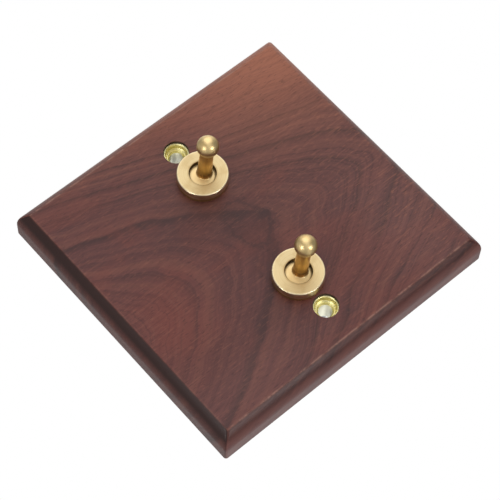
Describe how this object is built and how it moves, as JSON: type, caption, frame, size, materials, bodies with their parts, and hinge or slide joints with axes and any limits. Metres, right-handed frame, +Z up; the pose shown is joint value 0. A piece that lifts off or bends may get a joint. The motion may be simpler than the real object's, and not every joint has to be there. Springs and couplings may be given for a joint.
{
  "type": "toggle light switch",
  "caption": "Wall light switch: ball-ended brass toggle levers in round dress nuts on a wooden plate with moulded edges, lined fixing holes and screw-terminal switch bodies behind",
  "frame": {"origin": "midway between the two fixing holes, on the wall plane where the plate's back rests", "axes": "+Z up the plate, +Y into the wall, +X to the right as seen from the room; the levers point along -Y"},
  "size_m": [0.086, 0.0423, 0.09],
  "materials": {
    "walnut": "oiled",
    "satin_brass": "satin turned",
    "ferrule_brass": "bright",
    "contact_brass": "plain",
    "zinc_steel": "zinc plated",
    "bright_steel": "bright",
    "black_phenolic": "moulded",
    "white_nylon": "moulded"
  },
  "bodies": {
    "plate": {"wall_plate": "walnut", "ferrule_left": "ferrule_brass", "dress_nut_left": "satin_brass", "bushing_left": "satin_brass", "pivot_pin_left": "bright_steel", "cover_left": "zinc_steel", "case_left": "black_phenolic", "common_terminal_left": "contact_brass", "upper_terminal_left": "contact_brass", "lower_terminal_left": "contact_brass", "terminal_screws_left": "zinc_steel", "ferrule_right": "ferrule_brass", "dress_nut_right": "satin_brass", "bushing_right": "satin_brass", "pivot_pin_right": "bright_steel", "cover_right": "zinc_steel", "case_right": "black_phenolic", "common_terminal_right": "contact_brass", "upper_terminal_right": "contact_brass", "lower_terminal_right": "contact_brass", "terminal_screws_right": "zinc_steel"},
    "lever_left": {"lever_left": "satin_brass", "plunger_left": "white_nylon", "spring_left": "bright_steel"},
    "rocker_left": {"rocker_left": "contact_brass"},
    "lever_right": {"lever_right": "satin_brass", "plunger_right": "white_nylon", "spring_right": "bright_steel"},
    "rocker_right": {"rocker_right": "contact_brass"}
  },
  "joints": [
    {"name": "toggle_left", "type": "hinge", "parent": "plate", "child": "lever_left", "pos_m": [-0.0192, -0.006, 0], "axis": [1, 0, 0], "range_deg": [0, 10]},
    {"name": "rock_left", "type": "hinge", "parent": "plate", "child": "rocker_left", "pos_m": [-0.0192, 0.00613, 0], "axis": [1, 0, 0], "range_deg": [-10, 0]},
    {"name": "toggle_right", "type": "hinge", "parent": "plate", "child": "lever_right", "pos_m": [0.0192, -0.006, 0], "axis": [1, 0, 0], "range_deg": [0, 10]},
    {"name": "rock_right", "type": "hinge", "parent": "plate", "child": "rocker_right", "pos_m": [0.0192, 0.00613, 0], "axis": [1, 0, 0], "range_deg": [-10, 0]}
  ],
  "couplings": [
    {"joint": "rock_left", "follows": "toggle_left", "ratio": -1},
    {"joint": "rock_right", "follows": "toggle_right", "ratio": -1}
  ]
}
